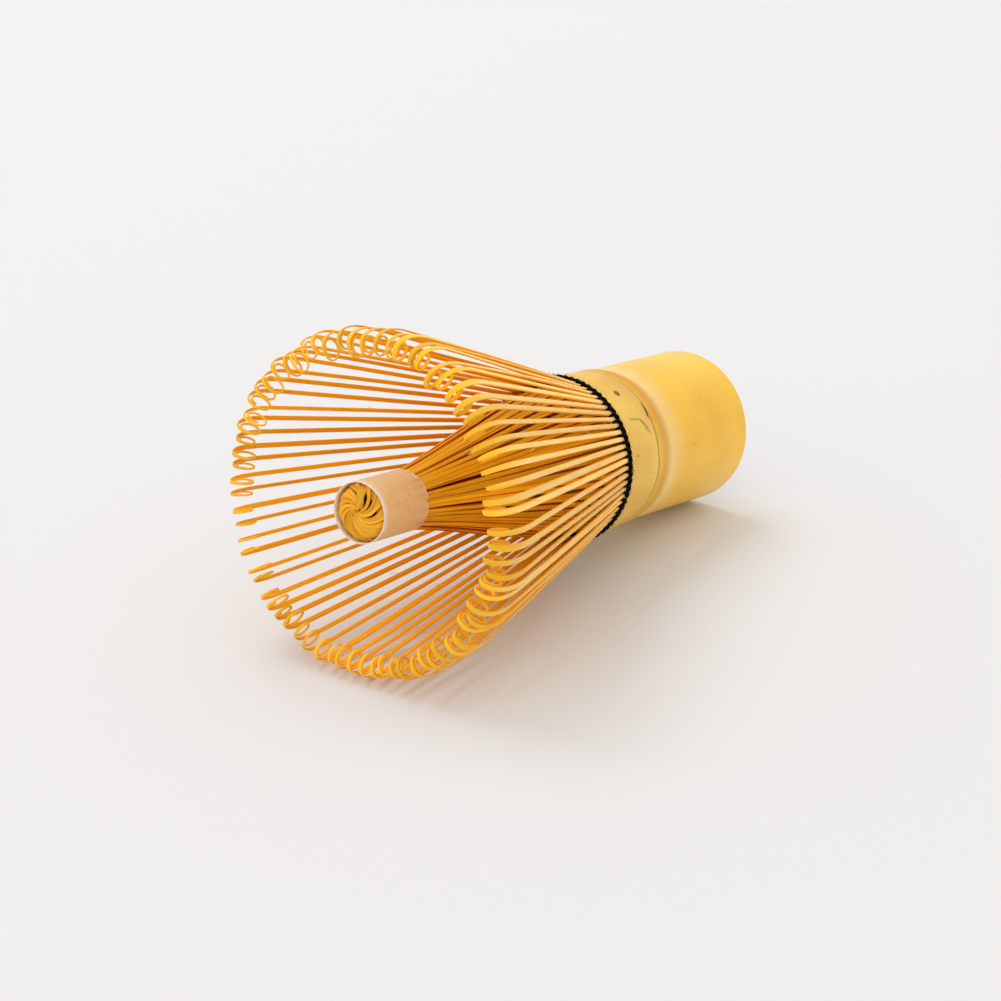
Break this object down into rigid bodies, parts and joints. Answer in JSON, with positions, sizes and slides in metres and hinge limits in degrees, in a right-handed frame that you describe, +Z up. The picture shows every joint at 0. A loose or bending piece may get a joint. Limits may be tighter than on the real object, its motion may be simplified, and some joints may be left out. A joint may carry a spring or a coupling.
{
  "type": "bamboo tea whisk",
  "caption": "Bamboo tea whisk lying on its side: round culm handle with a node, black thread, flared outer tines with curled tips, and inner tines gathered in a small clear sleeve.",
  "frame": {"origin": "middle of the whisk's footprint on the surface it lies on: the centre of the bounding box in X and Y, at its lowest Z", "axes": "+Z up. The whisk lies on its side along X, with its cut foot towards -X and its open rim of tines towards +X. Its own axis is in the XZ plane and rises 8.5 degrees towards +X"},
  "size_m": [0.1006, 0.0572, 0.0565],
  "materials": {
    "bamboo_skin": "satin, scraped and polished culm",
    "bamboo_tines": "satin, split and shaved strips",
    "bamboo_flesh": "matte, shaved inner flesh",
    "cotton_thread": "matte twisted cotton",
    "sleeve_film": "frosted translucent film"
  },
  "bodies": {
    "whisk": {"handle": "bamboo_skin", "outer_tines_01": "bamboo_tines", "outer_tines_02": "bamboo_tines", "outer_tines_03": "bamboo_tines", "outer_tines_04": "bamboo_tines", "outer_tines_05": "bamboo_tines", "outer_tines_06": "bamboo_tines", "outer_tines_07": "bamboo_tines", "outer_tines_08": "bamboo_tines", "outer_tines_09": "bamboo_tines", "outer_tines_10": "bamboo_tines", "outer_tines_11": "bamboo_tines", "outer_tines_12": "bamboo_tines", "outer_tines_13": "bamboo_tines", "outer_tines_14": "bamboo_tines", "outer_tines_15": "bamboo_tines", "outer_tines_16": "bamboo_tines", "outer_tines_17": "bamboo_tines", "outer_tines_18": "bamboo_tines", "outer_tines_19": "bamboo_tines", "outer_tines_20": "bamboo_tines", "outer_tines_21": "bamboo_tines", "outer_tines_22": "bamboo_tines", "outer_tines_23": "bamboo_tines", "outer_tines_24": "bamboo_tines", "inner_tines_01": "bamboo_flesh", "inner_tines_02": "bamboo_flesh", "inner_tines_03": "bamboo_flesh", "inner_tines_04": "bamboo_flesh", "inner_tines_05": "bamboo_flesh", "inner_tines_06": "bamboo_flesh", "inner_tines_07": "bamboo_flesh", "inner_tines_08": "bamboo_flesh", "inner_tines_09": "bamboo_flesh", "inner_tines_10": "bamboo_flesh", "inner_tines_11": "bamboo_flesh", "inner_tines_12": "bamboo_flesh", "inner_tines_13": "bamboo_flesh", "inner_tines_14": "bamboo_flesh", "inner_tines_15": "bamboo_flesh", "inner_tines_16": "bamboo_flesh", "inner_tines_17": "bamboo_flesh", "inner_tines_18": "bamboo_flesh", "inner_tines_19": "bamboo_flesh", "inner_tines_20": "bamboo_flesh", "inner_tines_21": "bamboo_flesh", "inner_tines_22": "bamboo_flesh", "inner_tines_23": "bamboo_flesh", "inner_tines_24": "bamboo_flesh", "thread_outer_round": "cotton_thread", "thread_inner_round": "cotton_thread"},
    "sleeve": {"tip_sleeve": "sleeve_film"}
  },
  "joints": [
    {"name": "sleeve_slide", "type": "slide", "parent": "whisk", "child": "sleeve", "axis": [0.989, 0, 0.1481], "range_m": [0, 0.012]}
  ]
}
